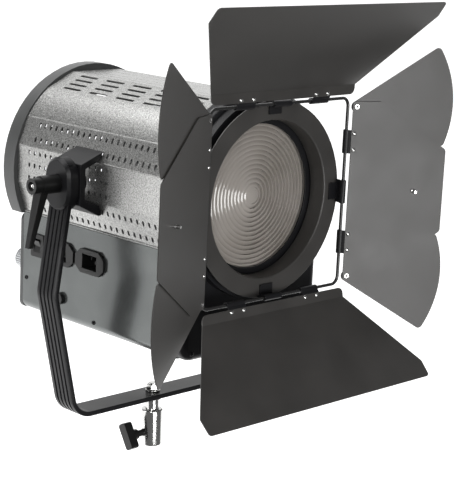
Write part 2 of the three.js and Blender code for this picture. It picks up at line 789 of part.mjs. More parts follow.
// Hinge clip: a plate on the door's face that curls round the wire, with two rivets.
function clip(centre) {
  const half = 12.7;
  const curl = rodX(3.5, centre - half, centre + half, 0, 0, 12);
  const tab = block(centre - half, centre + half, DOOR_PLANE - 1.6, DOOR_PLANE + 0.2, 0, 12);
  const rivets = [-8.8, 8.8].map((x) => rodY(2, DOOR_PLANE - 2.8, DOOR_PLANE, centre + x, 7.5, 10));
  return [curl, tab, ...rivets];
}

function hingeBore() {
  return rodX(HINGE_BORE, -130, 130, 0, 0, 12);
}

// A door drawn with its wire along X and the sheet standing up along Z.
function wideDoor() {
  const lipTop = 15.4;
  const lean = THREE.MathUtils.degToRad(TOP_LEAN);
  const front = DOOR_PLANE - DOOR_SHEET / 2;
  const back = DOOR_PLANE + DOOR_SHEET / 2;
  const lip = polygon([[-105.6, lipTop], [-104.5, 9], [-100, 4.5], [100, 4.5], [104.5, 9], [105.6, lipTop]]);
  const flap = polygon([
    [-105.6, 0], [105.6, 0], [166, 93], [167.5, 97], [166.5, 112], [164, 114],
    [-164, 114], [-166.5, 112], [-167.5, 97], [-166, 93],
  ]);
  const flapSheet = plateY(flap, -DOOR_SHEET / 2, DOOR_SHEET / 2).rotateX(lean);
  flapSheet.translate(0, DOOR_PLANE, lipTop);
  const fold = rodX(DOOR_SHEET / 2, -105.6, 105.6, DOOR_PLANE, lipTop, 12);
  const pieces = [plateY(lip, front, back), fold, flapSheet, ...clip(-CLIP_AT), ...clip(CLIP_AT)];
  return cut(join(...pieces), hingeBore());
}

function narrowDoor() {
  const front = DOOR_PLANE - DOOR_SHEET / 2;
  const back = DOOR_PLANE + DOOR_SHEET / 2;
  const leaf = polygon([
    [-97, 4.2], [97, 4.2], [98.5, 6], [98.5, 37], [48, 114], [43, 117.5],
    [-43, 117.5], [-48, 114], [-98.5, 37], [-98.5, 6],
  ]);
  const stud = rodY(3, front - 7, back, 0, 82, 20);
  const pieces = [plateY(leaf, front, back), stud, ...clip(-CLIP_AT), ...clip(CLIP_AT)];
  const earHoles = [-EAR_AT, EAR_AT].map((x) => rodY(1.8, -10, 5, x, EAR_LIFT, 12));
  return cut(join(...pieces), hingeBore(), ...earHoles);
}

// Ear: a sector of sheet behind a narrow door, turning on a rivet through the door's corner.
function ear(side) {
  const hub = 6;
  const outerAngle = THREE.MathUtils.degToRad(32);
  const innerAngle = THREE.MathUtils.degToRad(-20);
  const shape = new THREE.Shape();
  const direction = (angle) => [Math.sin(angle), Math.cos(angle)];
  const outer = direction(outerAngle);
  const inner = direction(innerAngle);
  const reach = Math.sqrt(EAR_R ** 2 - hub ** 2);
  const points = [];
  points.push([outer[0] * reach + outer[1] * hub, outer[1] * reach - outer[0] * hub]);
  const tip = Math.atan2(points[0][0], points[0][1]);
  const inside = [inner[0] * reach - inner[1] * hub, inner[1] * reach + inner[0] * hub];
  const end = Math.atan2(inside[0], inside[1]);
  const arcSteps = 14;
  for (let i = 1; i <= arcSteps; i++) {
    const angle = tip + ((end - tip) * i) / arcSteps;
    points.push([EAR_R * Math.sin(angle), EAR_R * Math.cos(angle)]);
  }
  const hubSteps = 8;
  for (let i = 0; i <= hubSteps; i++) {
    const angle = innerAngle - Math.PI / 2 - ((Math.PI - (outerAngle - innerAngle)) * i) / hubSteps;
    points.push([hub * Math.sin(angle), hub * Math.cos(angle)]);
  }
  points.forEach(([x, z], i) => (i === 0 ? shape.moveTo(side * x, z) : shape.lineTo(side * x, z)));
  shape.closePath();
  const y0 = DOOR_PLANE + DOOR_SHEET / 2 + GAP;
  const sheet = plateY(shape, y0, y0 + 1);
  const front = DOOR_PLANE - DOOR_SHEET / 2 - GAP;
  const shank = rodY(1.5, front - 0.5, y0 + 0.5, 0, 0, 16);
  const rivetHead = rodY(2.6, front - 1.2, front, 0, 0, 20);
  return join(sheet, shank, rivetHead);
}

function addDoors() {
  const degrees = THREE.MathUtils.degToRad;
  const top = new THREE.Group();
  top.position.set(0, 0, WIRE_HALF);
  barn.add(top);
  addPart(top, "door_top", wideDoor(), "doors");

  const bottom = new THREE.Group();
  bottom.position.set(0, 0, -WIRE_HALF);
  bottom.rotation.set(0, Math.PI, 0);
  barn.add(bottom);
  const bottomHinge = new THREE.Group();
  bottomHinge.rotation.x = degrees(BOTTOM_LEAN - TOP_LEAN);
  bottom.add(bottomHinge);
  addPart(bottomHinge, "door_bottom", wideDoor(), "doors");

  for (const [name, side, lean] of [["left", -1, LEFT_LEAN], ["right", 1, RIGHT_LEAN]]) {
    const place = new THREE.Group();
    place.position.set(side * WIRE_HALF, 0, 0);
    place.rotation.set(0, (side * Math.PI) / 2, 0);
    barn.add(place);
    const hinge = new THREE.Group();
    hinge.rotation.x = degrees(lean);
    place.add(hinge);
    addPart(hinge, `door_${name}`, narrowDoor(), "doors");
    for (const [end, way] of [["upper", -side], ["lower", side]]) {
      const rivet = new THREE.Group();
      rivet.position.set(way * EAR_AT, 0, EAR_LIFT);
      hinge.add(rivet);
      addPart(rivet, `ear_${name}_${end}`, ear(way), "doors");
    }
  }
}

addReceiver();
addReceiverLock();
addYoke();
addArmCaps();
addRightPivot();
addTiltLever();
addShell();
addFrontCasting();
addLens();
addDriverBox();
addConnectors();
addRocker();
addRearCap();
addRearPanel();
addKnobs();
addTiltBrackets();
addInside();
addBarnRing();
addWireFrame();
addStraps();
addDoors();

export default fixture;
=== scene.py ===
import json
import math

import bmesh
import bpy
from mathutils import Matrix, Vector
from mathutils.geometry import delaunay_2d_cdt


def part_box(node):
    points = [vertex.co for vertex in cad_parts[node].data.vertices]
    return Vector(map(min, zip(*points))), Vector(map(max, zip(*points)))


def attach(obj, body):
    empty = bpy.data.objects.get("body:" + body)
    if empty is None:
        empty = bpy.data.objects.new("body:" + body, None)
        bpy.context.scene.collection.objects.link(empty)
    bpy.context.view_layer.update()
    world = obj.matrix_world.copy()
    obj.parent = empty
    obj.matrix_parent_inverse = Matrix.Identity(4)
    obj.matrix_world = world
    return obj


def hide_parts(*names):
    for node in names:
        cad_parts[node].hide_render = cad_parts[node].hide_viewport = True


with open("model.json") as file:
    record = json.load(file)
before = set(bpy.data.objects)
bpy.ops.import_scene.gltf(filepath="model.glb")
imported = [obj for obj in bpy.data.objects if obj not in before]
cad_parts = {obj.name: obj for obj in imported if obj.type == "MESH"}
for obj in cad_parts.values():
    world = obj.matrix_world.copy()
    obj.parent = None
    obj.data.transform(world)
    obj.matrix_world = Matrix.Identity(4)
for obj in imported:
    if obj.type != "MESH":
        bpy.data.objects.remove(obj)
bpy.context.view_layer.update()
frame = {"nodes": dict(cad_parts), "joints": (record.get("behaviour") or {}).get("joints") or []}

# ------------------------------------------------------------------ camera and studio
# A spotlight on its yoke, seen from its own left and a little above, against white paper.
# The paper is lit behind the lamp; the camera's side of the room is dark but for soft boxes.

MM = 0.001
joints = {joint["name"]: joint for joint in frame["joints"]}
LENS_AXIS = Vector(joints["barn_turn"]["pos_m"])
PIVOT = Vector(joints["tilt"]["pos_m"])

scene = bpy.context.scene
scene.view_settings.view_transform = "Standard"


def aim(azimuth, elevation, roll):
    turn, lift = math.radians(azimuth), math.radians(elevation)
    back = Vector((math.sin(turn) * math.cos(lift), -math.cos(turn) * math.cos(lift), math.sin(lift)))
    right = Vector((math.cos(turn), math.sin(turn), 0))
    up = back.cross(right)
    tilt = Matrix.Rotation(math.radians(roll), 3, back)
    return Matrix((tilt @ right, tilt @ up, back)).transposed().to_4x4()


camera_data = bpy.data.cameras.new("camera")
camera_data.sensor_width = 36
camera_data.lens = 120.94
camera_data.clip_end = 20
camera = bpy.data.objects.new("camera", camera_data)
scene.collection.objects.link(camera)
stand_point = LENS_AXIS + Vector((-1.186, -1.127, 0.319))
camera.matrix_world = Matrix.Translation(stand_point) @ aim(-44.72, 12.47, 2.73)
scene.camera = camera


def soft_box(name, place, towards, size, power):
    lamp = bpy.data.lights.new(name, "AREA")
    lamp.shape = "RECTANGLE"
    lamp.size, lamp.size_y = size
    lamp.energy = power
    holder = bpy.data.objects.new(name, lamp)
    holder.location = place
    holder.rotation_euler = (Vector(towards) - Vector(place)).to_track_quat("-Z", "Y").to_euler()
    scene.collection.objects.link(holder)


soft_box("key_light", (-2.2, -1.9, 0.9), (0.05, -0.15, 0.32), (1.0, 1.2), 34)
soft_box("top_light", (-0.5, 0.5, 2.5), (0, 0, 0.4), (2.2, 2.2), 74)
soft_box("front_light", (-0.3, -3.0, -0.25), (0.1, -0.2, 0.3), (1.5, 1.4), 62)
soft_box("side_light", (-2.4, 1.1, 0.2), (0, 0, 0.3), (1.2, 1.2), 22)

world = bpy.data.worlds.new("studio")
world.use_nodes = True
world_tree = world.node_tree
sky = world_tree.nodes["Background"]
sky.inputs["Color"].default_value = (1, 1, 1, 1)
direction = world_tree.nodes.new("ShaderNodeTexCoord")
facing = world_tree.nodes.new("ShaderNodeVectorMath")
facing.operation = "DOT_PRODUCT"
facing.inputs[1].default_value = (0.69, 0.70, -0.10)
fade = world_tree.nodes.new("ShaderNodeMapRange")
fade.interpolation_type = "SMOOTHSTEP"
fade.inputs["From Min"].default_value = 0.30
fade.inputs["From Max"].default_value = 0.76
fade.inputs["To Min"].default_value = 0.16
fade.inputs["To Max"].default_value = 1.2
world_tree.links.new(direction.outputs["Generated"], facing.inputs[0])
world_tree.links.new(facing.outputs["Value"], fade.inputs["Value"])
world_tree.links.new(fade.outputs["Result"], sky.inputs["Strength"])
scene.world = world

FLOOR_DROP = 0.9
floor_mesh = bpy.data.meshes.new("floor")
paper_corners = [(x, y, -FLOOR_DROP) for x, y in ((-7, 1.6), (7, -1.6), (9, 9), (-7, 9))]
floor_mesh.from_pydata(paper_corners, [], [(0, 1, 2, 3)])
floor = bpy.data.objects.new("floor", floor_mesh)
scene.collection.objects.link(floor)
paper = bpy.data.materials.new("paper")
paper.use_nodes = True
paper_shader = paper.node_tree.nodes["Principled BSDF"]
paper_shader.inputs["Base Color"].default_value = (0.92, 0.92, 0.92, 1)
paper_shader.inputs["Roughness"].default_value = 0.9
paper_shader.inputs["Emission Color"].default_value = (1, 1, 1, 1)
paper_shader.inputs["Emission Strength"].default_value = 1.0
floor_mesh.materials.append(paper)

# ------------------------------------------------------------------ yoke
# One length of ribbed aluminium bar, bent cold into a U and powder coated satin black.
# Four grooves run down its outer face; its ends sit in the arm caps.


def new_finish(name, colour, roughness, metallic=0.0):
    material = bpy.data.materials.new(name)
    material.use_nodes = True
    tree = material.node_tree
    shader = tree.nodes["Principled BSDF"]
    shader.inputs["Base Color"].default_value = (*colour, 1)
    shader.inputs["Roughness"].default_value = roughness
    shader.inputs["Metallic"].default_value = metallic
    place = tree.nodes.new("ShaderNodeTexCoord")
    return material, tree, shader, place


def grain(tree, place, scale, detail=3.0):
    noise = tree.nodes.new("ShaderNodeTexNoise")
    noise.inputs["Scale"].default_value = scale
    noise.inputs["Detail"].default_value = detail
    tree.links.new(place.outputs["Object"], noise.inputs["Vector"])
    return noise.outputs["Fac"]


def span(tree, source, low, high, start=0.3, end=0.7):
    ramp = tree.nodes.new("ShaderNodeMapRange")
    ramp.inputs["From Min"].default_value = start
    ramp.inputs["From Max"].default_value = end
    ramp.inputs["To Min"].default_value = low
    ramp.inputs["To Max"].default_value = high
    tree.links.new(source, ramp.inputs["Value"])
    return ramp.outputs["Result"]


def tinted(tree, source, dark, light, shader):
    mix = tree.nodes.new("ShaderNodeMix")
    mix.data_type = "RGBA"
    mix.inputs[6].default_value = (*dark, 1)
    mix.inputs[7].default_value = (*light, 1)
    tree.links.new(source, mix.inputs[0])
    tree.links.new(mix.outputs[2], shader.inputs["Base Color"])


def bumped(tree, source, height, shader):
    bump = tree.nodes.new("ShaderNodeBump")
    bump.inputs["Strength"].default_value = 1.0
    bump.inputs["Distance"].default_value = height
    tree.links.new(source, bump.inputs["Height"])
    tree.links.new(bump.outputs["Normal"], shader.inputs["Normal"])


def powder_coat(name, dark, light, roughness, peel=0.00004, metallic=0.0, specular=0.5):
    """Sprayed and baked powder: a fine orange peel, patches a little duller than the rest."""
    material, tree, shader, place = new_finish(name, light, roughness, metallic)
    patches = grain(tree, place, 22, 4)
    tinted(tree, span(tree, patches, 0, 1), dark, light, shader)
    tree.links.new(span(tree, patches, roughness - 0.03, roughness + 0.04), shader.inputs["Roughness"])
    bumped(tree, grain(tree, place, 900, 2), peel, shader)
    shader.inputs["Specular IOR Level"].default_value = specular
    return material


black_coat = powder_coat("black_powder_coat", (0.006, 0.006, 0.007), (0.010, 0.010, 0.011), 0.34,
                         specular=0.2)


def smooth_by_angle(mesh, degrees):
    for face in mesh.polygons:
        face.use_smooth = True
    mesh.set_sharp_from_angle(angle=math.radians(degrees))


def solid_mesh(name, verts, faces, degrees=32):
    """A closed mesh, faces turned outwards, shaded smooth across edges shallower than the angle."""
    mesh = bpy.data.meshes.new(name)
    mesh.from_pydata([tuple(v) for v in verts], [], faces)
    tidy = bmesh.new()
    tidy.from_mesh(mesh)
    bmesh.ops.remove_doubles(tidy, verts=tidy.verts, dist=1e-7)
    bmesh.ops.recalc_face_normals(tidy, faces=tidy.faces)
    tidy.to_mesh(mesh)
    tidy.free()
    smooth_by_angle(mesh, degrees)
    return mesh


def add_piece(name, mesh, material, body, replaces=()):
    piece = bpy.data.objects.new(name, mesh)
    scene.collection.objects.link(piece)
    mesh.materials.clear()
    mesh.materials.append(material)
    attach(piece, body)
    if replaces:
        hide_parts(*replaces)
    return piece


def rounded_chain(corners, radius, steps):
    """Points along a folded line, each inner corner turned to a radius."""
    chain = [Vector(corners[0])]
    for before, corner, after in zip(corners, corners[1:], corners[2:]):
        corner = Vector(corner)
        back = (Vector(before) - corner).normalized()
        ahead = (Vector(after) - corner).normalized()
        half = back.angle(ahead) / 2
        centre = corner + (back + ahead).normalized() * radius / math.sin(half)
        start = corner + back * radius / math.tan(half) - centre
        end = corner + ahead * radius / math.tan(half) - centre
        sweep = math.atan2(start.x * end.y - start.y * end.x, start.dot(end))
        for step in range(steps + 1):
            angle = sweep * step / steps
            cos, sin = math.cos(angle), math.sin(angle)
            chain.append(centre + Vector((start.x * cos - start.y * sin, start.x * sin + start.y * cos)))
    chain.append(Vector(corners[-1]))
    return chain


def chain_normals(chain):
    """Mitred normals, to the left of the chain's direction."""
    normals = []
    for i in range(len(chain)):
        into = (chain[i] - chain[max(i - 1, 0)]) if i else (chain[1] - chain[0])
        out = (chain[i + 1] - chain[i]) if i < len(chain) - 1 else into
        along = (into.normalized() + out.normalized()).normalized()
        normals.append(Vector((-along.y, along.x)) / max(along.dot(out.normalized()), 0.3))
    return normals


yoke_low, yoke_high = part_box("yoke")
BAR_HALF = (yoke_high.y - yoke_low.y) / 2
BAR_THICK = 5.5 * MM
ARM_REACH = 141.5 * MM
SPLAY_REACH = 156 * MM
FOOT_REACH = 124.1 * MM
YOKE_BEND = 26 * MM
bar_level = yoke_low.z + BAR_THICK / 2

left_arm = [
    (-ARM_REACH, LENS_AXIS.z + 24 * MM),
    (-ARM_REACH, LENS_AXIS.z - 20 * MM),
    (-SPLAY_REACH, LENS_AXIS.z - 116 * MM),
    (-FOOT_REACH, bar_level),
]
yoke_chain = rounded_chain(left_arm + [(-x, z) for x, z in reversed(left_arm)], YOKE_BEND, 14)


def ribbed_section():
    """Rounded edges, a flat back and four grooves with soft lips, as (across, out)."""
    half = BAR_THICK / 2
    edge = [(-BAR_HALF + 0.8 * MM, -half), (-BAR_HALF, -half + 0.8 * MM), (-BAR_HALF, half - 1.0 * MM),
            (-BAR_HALF + 0.3 * MM, half - 0.3 * MM), (-BAR_HALF + 1.0 * MM, half)]
    points = list(edge)
    for middle in (-9.6, -3.2, 3.2, 9.6):
        for across, away in ((-1.5, 0), (-1.1, -0.3), (-0.8, -1.1), (0.8, -1.1), (1.1, -0.3), (1.5, 0)):
            points.append(((middle + across) * MM, half + away * MM))
    return points + [(-across, away) for across, away in reversed(edge)]


def swept_bar(name, chain, section):
    verts, faces = [], []
    count = len(section)
    for i, (point, normal) in enumerate(zip(chain, chain_normals(chain))):
        for across, away in section:
            out = point - normal * away
            verts.append((out.x, across, out.y))
        if i:
            for k in range(count):
                a, b = (i - 1) * count + k, (i - 1) * count + (k + 1) % count
                faces.append((a, b, b + count, a + count))
    faces.append(tuple(range(count)))
    faces.append(tuple(range((len(chain) - 1) * count, len(chain) * count)))
    return solid_mesh(name, verts, faces)


add_piece("ribbed_yoke", swept_bar("ribbed_yoke", yoke_chain, ribbed_section()), black_coat,
          "yoke_frame", ["yoke"])

# ------------------------------------------------------------------ receiver, pivots and lever
# A chromed steel receiver is bolted under the yoke and locked by a moulded T-knob. The head
# hangs between two cast caps; a moulded lever on the left one clamps the tilt.


def break_edges(node, width, material, segments=2, degrees=35):
    """The finish of a carried-over solid, with a small bevel along its sharp edges."""
    solid = frame["nodes"][node]
    solid.data.materials.clear()
    solid.data.materials.append(material)
    weld = solid.modifiers.new("weld", "WELD")
    weld.merge_threshold = 0.00002
    bevel = solid.modifiers.new("broken_edge", "BEVEL")
    bevel.width = width
    bevel.segments = segments
    bevel.limit_method = "ANGLE"
    bevel.angle_limit = math.radians(degrees)
    for face in solid.data.polygons:
        face.use_smooth = True
    even = solid.modifiers.new("even_shading", "WEIGHTED_NORMAL")
    even.keep_sharp = True
    even.weight = 60


def bright_metal(name, colour, roughness, scratch=0.05):
    """Plated or turned metal with faint handling marks."""
    material, tree, shader, place = new_finish(name, colour, roughness, 1.0)
    marks = grain(tree, place, 160, 5)
    worn = span(tree, marks, roughness - scratch * 0.5, roughness + scratch)
    tree.links.new(worn, shader.inputs["Roughness"])
    bumped(tree, marks, 0.00001, shader)
    return material


def moulded(name, dark, light, roughness):
    """Glass-filled nylon with a sparked texture."""
    material, tree, shader, place = new_finish(name, light, roughness)
    spark = grain(tree, place, 1500, 2)
    tinted(tree, span(tree, spark, 0, 1), dark, light, shader)
    bumped(tree, spark, 0.00003, shader)
    shader.inputs["Specular IOR Level"].default_value = 0.35
    return material


def turned_mesh(name, profile, origin, axis, sides=24, degrees=32):
    """A profile of (radius, height) turned about an axis; radius 0 closes an end."""
    axis = Vector(axis).normalized()
    across = axis.orthogonal().normalized()
    third = axis.cross(across)
    verts, faces, rings = [], [], []
    for radius, height in profile:
        if radius == 0:
            rings.append([len(verts)] * sides)
            verts.append(Vector(origin) + axis * height)
            continue
        rings.append(list(range(len(verts), len(verts) + sides)))
        for k in range(sides):
            angle = 2 * math.pi * k / sides
            spoke = (across * math.cos(angle) + third * math.sin(angle)) * radius
            verts.append(Vector(origin) + axis * height + spoke)
    for low, high in zip(rings, rings[1:]):
        for k in range(sides):
            corners = []
            for index in (low[k], low[(k + 1) % sides], high[(k + 1) % sides], high[k]):
                if index not in corners:
                    corners.append(index)
            if len(corners) > 2:
                faces.append(tuple(corners))
    return solid_mesh(name, verts, faces, degrees)


chrome = bright_metal("bright_chrome", (0.60, 0.60, 0.59), 0.14)
turned = bright_metal("turned_aluminium", (0.50, 0.51, 0.52), 0.3, 0.1)
nylon = moulded("black_nylon", (0.004, 0.004, 0.004), (0.008, 0.008, 0.008), 0.34)

break_edges("stand_receiver", 0.5 * MM, chrome)
break_edges("receiver_washer", 0.2 * MM, chrome)
break_edges("receiver_nut", 0.4 * MM, chrome)
break_edges("receiver_t_knob", 1.2 * MM, nylon, 3)
break_edges("left_arm_cap", 0.6 * MM, black_coat, 3, 20)
break_edges("right_arm_cap", 0.6 * MM, black_coat, 3, 20)
break_edges("left_tilt_bracket", 1.0 * MM, black_coat, 3)
break_edges("right_tilt_bracket", 1.0 * MM, black_coat, 3)
break_edges("right_pivot_bolt", 0.8 * MM, black_coat)
break_edges("tilt_lever", 0.9 * MM, nylon, 3)

stud_low, stud_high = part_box("tilt_lever_stud")
STUD_R = (stud_high.z - stud_low.z) / 2
STUD_LENGTH = stud_high.x - stud_low.x
stud_profile = [
    (0, 0),
    (STUD_R, 0),
    (STUD_R, STUD_LENGTH - 1.5 * MM),
    (2.8 * MM, STUD_LENGTH - 1.5 * MM),
    (2.6 * MM, STUD_LENGTH - 0.3 * MM),
    (2.1 * MM, STUD_LENGTH),
    (1.3 * MM, STUD_LENGTH - 0.1 * MM),
    (1.2 * MM, STUD_LENGTH - 1.2 * MM),
    (0, STUD_LENGTH - 1.3 * MM),
]
stud_mesh = turned_mesh("lever_stud", stud_profile, (stud_high.x, PIVOT.y, PIVOT.z), (-1, 0, 0))
add_piece("lever_stud", stud_mesh, chrome, "tilt_clamp", ["tilt_lever_stud"])

# ------------------------------------------------------------------ barrel shell
# Three sheets of steel, punched flat, folded and sprayed silver-grey hammertone: a cover with
# louvres, and two sides with rows of slots. A bright liner behind the front slots throws light on.


def hammertone(name):
    """Silver paint dried in small pits with flakes between them, its colour painted darker in the pits and
    lighter between: partly its own mottle, partly painted shade and glints.
    """
    material, tree, shader, place = new_finish(name, (0.36, 0.36, 0.355), 0.36, 0.85)
    dimples_and_painted_shade = grain(tree, place, 520, 3)
    flakes = tree.nodes.new("ShaderNodeTexVoronoi")
    flakes.inputs["Scale"].default_value = 900
    tree.links.new(place.outputs["Object"], flakes.inputs["Vector"])
    # Painted shade and light: the noise that raises the bump also darkens the colour in its pits and
    # lightens it between them, besides the paint's own mottle.
    tinted(tree, span(tree, dimples_and_painted_shade, 0, 1), (0.24, 0.24, 0.235), (0.47, 0.47, 0.46), shader)
    tree.links.new(span(tree, flakes.outputs["Distance"], 0.26, 0.42), shader.inputs["Roughness"])
    bumped(tree, dimples_and_painted_shade, 0.00016, shader)
    return material


def inside(point, outline):
    """True if a point lies in a polygon."""
    crossed = False
    for a, b in zip(outline, outline[1:] + outline[:1]):
        if (a[1] > point[1]) != (b[1] > point[1]):
            if point[0] < (b[0] - a[0]) * (point[1] - a[1]) / (b[1] - a[1]) + a[0]:
                crossed = not crossed
    return crossed


def punched_sheet(name, outline, holes, chain, thickness, place, degrees=14):
    """A flat pattern of (along the fold, across) points with holes, folded along a chain.

    The chain gives the sheet's outer face; its thickness goes to the right of the chain.
    """
    chain = [Vector(point) for point in chain]
    normals = chain_normals(chain)
    lengths = [0.0]
    for a, b in zip(chain, chain[1:]):
        lengths.append(lengths[-1] + (b - a).length)
    wide = [min(p[1] for p in outline) - 1, max(p[1] for p in outline) + 1]
    verts, edges = [], []

    def add_loop(loop):
        start = len(verts)
        verts.extend(Vector(p) for p in loop)
        edges.extend((start + k, start + (k + 1) % len(loop)) for k in range(len(loop)))

    add_loop(outline)
    for hole in holes:
        add_loop(hole)
    for length in lengths[1:-1]:
        verts.extend((Vector((length, wide[0])), Vector((length, wide[1]))))
        edges.append((len(verts) - 2, len(verts) - 1))
    flat, _, triangles, _, _, _ = delaunay_2d_cdt(verts, edges, [], 0, 1e-7)
    boxes = [(min(p[0] for p in h), max(p[0] for p in h), min(p[1] for p in h), max(p[1] for p in h), h)
             for h in holes]

    def kept(triangle):
        middle = ((flat[triangle[0]] + flat[triangle[1]] + flat[triangle[2]]) / 3)
        if not inside(middle, outline):
            return False
        return not any(x0 < middle.x < x1 and y0 < middle.y < y1 and inside(middle, h)
                       for x0, x1, y0, y1, h in boxes)

    def folded(point, depth):
        for i in range(len(chain)):
            if abs(point.x - lengths[i]) < 1e-6:
                spot = chain[i] - normals[i] * depth
                return place(spot.x, spot.y, point.y)
        i = max(k for k in range(len(chain) - 1) if lengths[k] <= point.x or k == 0)
        along = (chain[i + 1] - chain[i]).normalized()
        spot = chain[i] + along * (point.x - lengths[i]) - Vector((-along.y, along.x)) * depth
        return place(spot.x, spot.y, point.y)

    skin = [tuple(t) for t in triangles if kept(t)]
    count = len(flat)
    points = [folded(p, 0) for p in flat] + [folded(p, thickness) for p in flat]
    faces = list(skin) + [tuple(i + count for i in reversed(t)) for t in skin]
    seen = {}
    for t in skin:
        for a, b in zip(t, t[1:] + t[:1]):
            seen[(a, b)] = seen.get((a, b), 0) + 1
    for a, b in seen:
        if (b, a) not in seen:
            faces.append((b, a, a + count, b + count))
    used = sorted({i for face in faces for i in face})
    order = {old: new for new, old in enumerate(used)}
    return solid_mesh(name, [points[i] for i in used], [tuple(order[i] for i in f) for f in faces], degrees)


def slot_hole(u, y, tall, wide):
    """A round-ended slot in the flat sheet."""
    radius = min(tall, wide) / 2
    reach_u, reach_y = tall / 2 - radius, wide / 2 - radius
    points = []
    for quarter, (su, sy) in enumerate(((1, 1), (-1, 1), (-1, -1), (1, -1))):
        for step in range(4):
            angle = math.pi / 2 * (quarter + step / 3)
            point = (u + su * reach_u + radius * math.cos(angle),
                     y + sy * reach_y + radius * math.sin(angle))
            if not points or math.dist(point, points[-1]) > 1e-6:
                points.append(point)
    return points[:-1] if math.dist(points[0], points[-1]) < 1e-6 else points


silver = hammertone("hammertone_silver")
SHEET = 1.5 * MM
shell_low, shell_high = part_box("top_cover")
SHELL_FRONT, SHELL_REAR = shell_low.y, shell_high.y
SHELL_R = 111.5
SHELL_CENTRE = -3.3
TOP = 102.4
GROOVE_DEEP = 1.2
SLOT_PITCH = 9.5 * MM
SLOT_WIDE, SLOT_TALL = 3.2 * MM, 6.2 * MM


def on_shell(x, z, y):
    return (x, y, z)


def from_axis(points):
    return [(x * MM, LENS_AXIS.z + z * MM) for x, z in points]


def slot_row(u, first, last, tall=SLOT_TALL, wide=SLOT_WIDE):
    count = int((last - first) / SLOT_PITCH) + 1
    return [slot_hole(u, last - k * SLOT_PITCH, tall, wide) for k in range(count)]


def sheet_outline(chain):
    length = sum((Vector(b) - Vector(a)).length for a, b in zip(chain, chain[1:]))
    return [(0, SHELL_FRONT), (length, SHELL_FRONT), (length, SHELL_REAR), (0, SHELL_REAR)]


def cover_chain():
    """The cover from its right edge over the top: a slanted strip, an arc, a louvred strip, a flat top."""
    right = [(107.5, 24.4), (95, 55.4)]
    start = math.atan2(55 - SHELL_CENTRE, 95)
    end = math.atan2(85 - SHELL_CENTRE, 68)
    for step in range(1, 10):
        angle = start + (end - start) * step / 10
        right.append((SHELL_R * math.cos(angle), SHELL_CENTRE + 0.4 + SHELL_R * math.sin(angle)))
    right += [(68, 85.4), (33, TOP)]
    for groove in (23, 9):
        right += [(groove + 1, TOP), (groove, TOP - GROOVE_DEEP), (groove - 1, TOP)]
    return from_axis(right + [(-x, z) for x, z in reversed(right)])


cover = cover_chain()
cover_outline = sheet_outline(cover)
cover_length = cover_outline[1][0]
louvre_start = sum((Vector(b) - Vector(a)).length for a, b in zip(cover[:11], cover[1:12]))
cover_slots = []
for along in (9 * MM, 26 * MM):
    for u in (along, cover_length - along):
        cover_slots += slot_row(u, SHELL_FRONT + 9 * MM, SHELL_REAR - 26 * MM)
for along in (6, 15, 24, 33):
    for group in range(5):
        rear = (98 - group * 45) * MM
        u = louvre_start + (38.9 - along) * MM
        for spot in (u, cover_length - u):
            cover_slots.append(slot_hole(spot, rear - 15 * MM, 3.4 * MM, 30 * MM))
cover_mesh = punched_sheet("top_cover_sheet", cover_outline, cover_slots, cover, -SHEET, on_shell)
add_piece("top_cover_sheet", cover_mesh, silver, "head", ["top_cover"])

for name, side in (("left", -1), ("right", 1)):
    panel = from_axis([(side * x, z) for x, z in ((96, -53.4), (107.5, -18.4), (107.5, 23.6))])
    lower = (Vector(panel[1]) - Vector(panel[0])).length
    holes = []
    for along in (9 * MM, 26 * MM):
        holes += slot_row(along, SHELL_FRONT + 9 * MM, SHELL_REAR - 20 * MM)
    for height in (-10, 4, 18):
        holes += slot_row(lower + (height + 18.4) * MM, -40 * MM, SHELL_REAR - 20 * MM, 5.0 * MM)
    mesh = punched_sheet(name + "_side_sheet", sheet_outline(panel), holes, panel, side * -SHEET, on_shell)
    add_piece(name + "_side_sheet", mesh, silver, "head", [name + "_side_panel"])


def rolled_bead(name, x, z, radius):
    origin = (x * MM, SHELL_FRONT, LENS_AXIS.z + z * MM)
    length = SHELL_REAR - SHELL_FRONT
    profile = [(0, 0), (radius * MM, 0), (radius * MM, length), (0, length)]
    add_piece(name, turned_mesh(name, profile, origin, (0, 1, 0), 14), silver, "head")


for name, side in (("left", -1), ("right", 1)):
    rolled_bead(name + "_waist_bead", side * 106.7, 24.2, 1.1)
    rolled_bead(name + "_hip_bead", side * 106.7, -18.4, 0.9)
    rolled_bead(name + "_foot_bead", side * 96.2, -52.4, 1.5)
    rolled_bead(name + "_shoulder_bead", side * 94.3, 55.2, 1.0)

LINER_R = 100 * MM
liner = [(LINER_R * math.cos(math.radians(a)), LENS_AXIS.z + LINER_R * math.sin(math.radians(a)))
         for a in range(-30, 211, 8)]
liner_length = sum(math.dist(a, b) for a, b in zip(liner, liner[1:]))
liner_outline = [(0, SHELL_FRONT + 6 * MM), (liner_length, SHELL_FRONT + 6 * MM),
                 (liner_length, -18 * MM), (0, -18 * MM)]
add_piece("bright_liner", punched_sheet("bright_liner", liner_outline, [], liner, 0.8 * MM, on_shell, 30),
          turned, "head")

# ------------------------------------------------------------------ castings, box and works
# The nose is a black sand casting; the tail is a pressed pan sprayed mid grey. The tray under
# the barrel is folded steel, enamelled dark grey with a soft gloss. Small screws hold them.

grey_coat = powder_coat("grey_powder_coat", (0.050, 0.051, 0.051), (0.068, 0.070, 0.070), 0.40,
                        specular=0.4)
box_coat = powder_coat("box_enamel", (0.125, 0.132, 0.131), (0.155, 0.163, 0.161), 0.20, 0.00001, 0.75)

break_edges("front_casting", 0.8 * MM, black_coat, 3)
break_edges("rear_cap", 0.9 * MM, grey_coat, 3)
break_edges("driver_box", 0.5 * MM, box_coat)
break_edges("rear_panel", 0.8 * MM, grey_coat)
break_edges("lens_retainer", 0.3 * MM, black_coat)
break_edges("driver_supply", 1.0 * MM, turned)
break_edges("left_rail", 0.3 * MM, chrome)
break_edges("right_rail", 0.3 * MM, chrome)
break_edges("carriage_plate", 0.4 * MM, turned)
break_edges("heat_sink", 0.15 * MM, turned)

